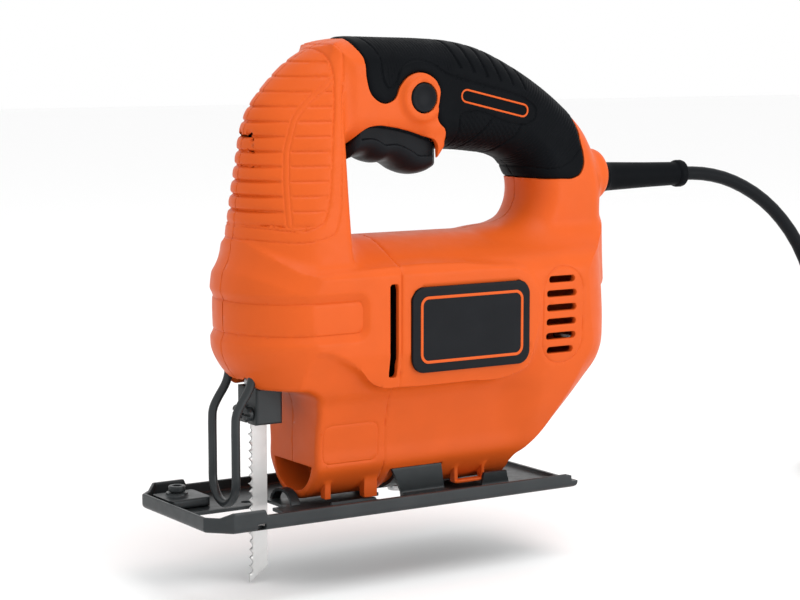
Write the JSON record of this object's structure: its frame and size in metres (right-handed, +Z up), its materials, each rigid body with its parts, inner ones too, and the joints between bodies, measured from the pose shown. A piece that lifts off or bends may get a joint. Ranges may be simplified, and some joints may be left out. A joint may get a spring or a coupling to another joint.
{
  "type": "jigsaw power tool",
  "caption": "Corded jigsaw: D handle with soft grip, two-finger trigger, reciprocating saw blade, wire guard and tilting pressed-steel sole.",
  "frame": {"origin": "on the sole's underside, in the middle of its length and width", "axes": "+Z up from the work, -X towards the blade and nose, +X towards the cord, +Y towards the tool's right side"},
  "size_m": [0.4806, 0.1106, 0.227],
  "materials": {
    "orange_shell": "fine moulded texture, semi matt",
    "soft_grip": "matt black with hatched grip zones",
    "black_plastic": "satin moulded black",
    "black_sheet_steel": "dark grey coated steel, satin",
    "steel": "ground steel",
    "blade_steel": "bright ground saw steel",
    "brass": "satin",
    "bronze": "sintered, oily",
    "copper": "lacquered winding wire",
    "carbon": "pressed carbon",
    "aluminium": "die cast",
    "cord_pvc": "smooth black cord jacket"
  },
  "bodies": {
    "root": {"housing_left": "orange_shell", "housing_right": "orange_shell", "grip_left": "soft_grip", "grip_right": "soft_grip", "badge_left": "black_plastic", "badge_right": "black_plastic", "fan_baffle": "black_plastic", "switch_body": "black_plastic", "cord_clamp": "black_plastic", "plug": "black_plastic", "housing_screw_1": "steel", "housing_screw_2": "steel", "housing_screw_3": "steel", "housing_screw_4": "steel", "housing_screw_5": "steel", "housing_screw_6": "steel", "gear_axle": "steel", "front_bearing": "steel", "rear_bearing": "steel", "trigger_pin": "steel", "trigger_spring": "steel", "sole_screw": "steel", "sole_nut": "steel", "brush_spring_left": "steel", "brush_spring_right": "steel", "blade_guard": "black_sheet_steel", "stator_core": "black_sheet_steel", "lower_bushing": "bronze", "upper_bushing": "bronze", "field_coil_upper": "copper", "field_coil_lower": "copper", "brush_holder_left": "brass", "brush_holder_right": "brass", "brush_left": "carbon", "brush_right": "carbon", "bearing_plate": "aluminium", "cord": "cord_pvc", "cord_coil": "cord_pvc", "strain_relief": "cord_pvc"},
    "plunger": {"saw_blade": "blade_steel", "blade_clamp": "black_sheet_steel", "clamp_screw_1": "black_sheet_steel", "clamp_screw_2": "black_sheet_steel", "plunger_bar": "steel", "scotch_yoke": "steel"},
    "gear": {"drive_gear": "steel", "crank_pin": "steel"},
    "armature": {"armature_shaft": "steel", "armature_core": "black_sheet_steel", "armature_winding_front": "copper", "armature_winding_rear": "copper", "commutator": "copper", "cooling_fan": "black_plastic"},
    "trigger_lever": {"trigger": "black_plastic"},
    "lock_on": {"lock_button": "black_plastic", "lock_spring": "steel"},
    "sole": {"sole_plate": "black_sheet_steel", "sole_saddle": "black_sheet_steel", "fence_clamp": "black_sheet_steel", "fence_clamp_screw": "black_sheet_steel"}
  },
  "joints": [
    {"name": "plunger_slide", "type": "slide", "parent": "root", "child": "plunger", "axis": [0, 0, 1], "range_m": [0, 0.018]},
    {"name": "armature_spin", "type": "hinge", "parent": "root", "child": "armature", "pos_m": [0.03, 0, 0.077], "axis": [1, 0, 0], "continuous": true},
    {"name": "gear_spin", "type": "hinge", "parent": "root", "child": "gear", "pos_m": [-0.0365, 0, 0.1004], "axis": [1, 0, 0], "continuous": true},
    {"name": "trigger_pull", "type": "hinge", "parent": "root", "child": "trigger_lever", "pos_m": [-0.008, 0, 0.162], "axis": [0, -1, 0], "range_deg": [0, 6], "stiffness_Nm_per_rad": 0.5, "springref_deg": -17.19},
    {"name": "lock_press", "type": "slide", "parent": "root", "child": "lock_on", "axis": [0, 1, 0], "range_m": [0, 0.004], "stiffness_N_per_m": 300, "springref_m": -0.004},
    {"name": "sole_tilt", "type": "hinge", "parent": "root", "child": "sole", "pos_m": [0, 0, 0.023], "axis": [1, 0, 0], "range_deg": [0, 45]}
  ],
  "couplings": [
    {"joint": "gear_spin", "follows": "armature_spin", "ratio": -0.18182}
  ]
}
